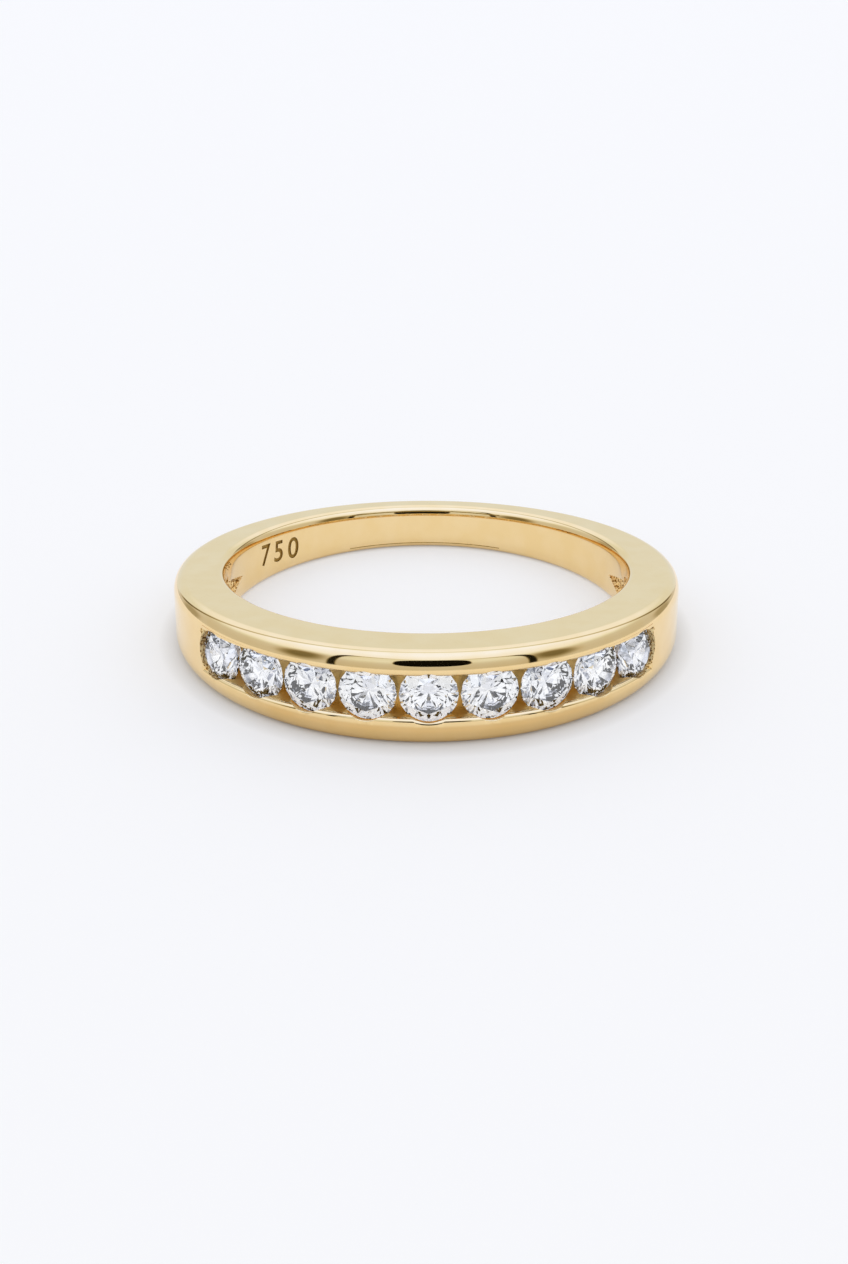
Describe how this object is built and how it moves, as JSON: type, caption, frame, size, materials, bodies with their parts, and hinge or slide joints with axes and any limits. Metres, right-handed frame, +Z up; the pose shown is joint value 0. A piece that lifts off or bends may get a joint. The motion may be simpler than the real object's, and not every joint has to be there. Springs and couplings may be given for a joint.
{
  "type": "channel-set band ring",
  "caption": "Finger ring: a polished gold band that tapers to the back, with round brilliant stones held between two lips in a channel across the front, lying on its side.",
  "frame": {"origin": "on the surface that the ring rests on, under the middle of its length and breadth", "axes": "+Z up from the lower side face, which lies flat; -Y towards the stones; +X to the right for someone who faces the stones; the finger hole's axis leans 2.7 degrees from +Z towards +Y, because the band is wider at the stones than at the back"},
  "size_m": [0.0212, 0.021, 0.0038],
  "materials": {
    "gold": "18 carat yellow gold, polished to a mirror, rough as cast inside the channel ends and the inner hollow",
    "diamond": "clear cut stone with flat polished facets"
  },
  "bodies": {
    "root": {"band": "gold", "stone_1": "diamond", "stone_2": "diamond", "stone_3": "diamond", "stone_4": "diamond", "stone_5": "diamond", "stone_6": "diamond", "stone_7": "diamond", "stone_8": "diamond", "stone_9": "diamond"}
  },
  "joints": []
}
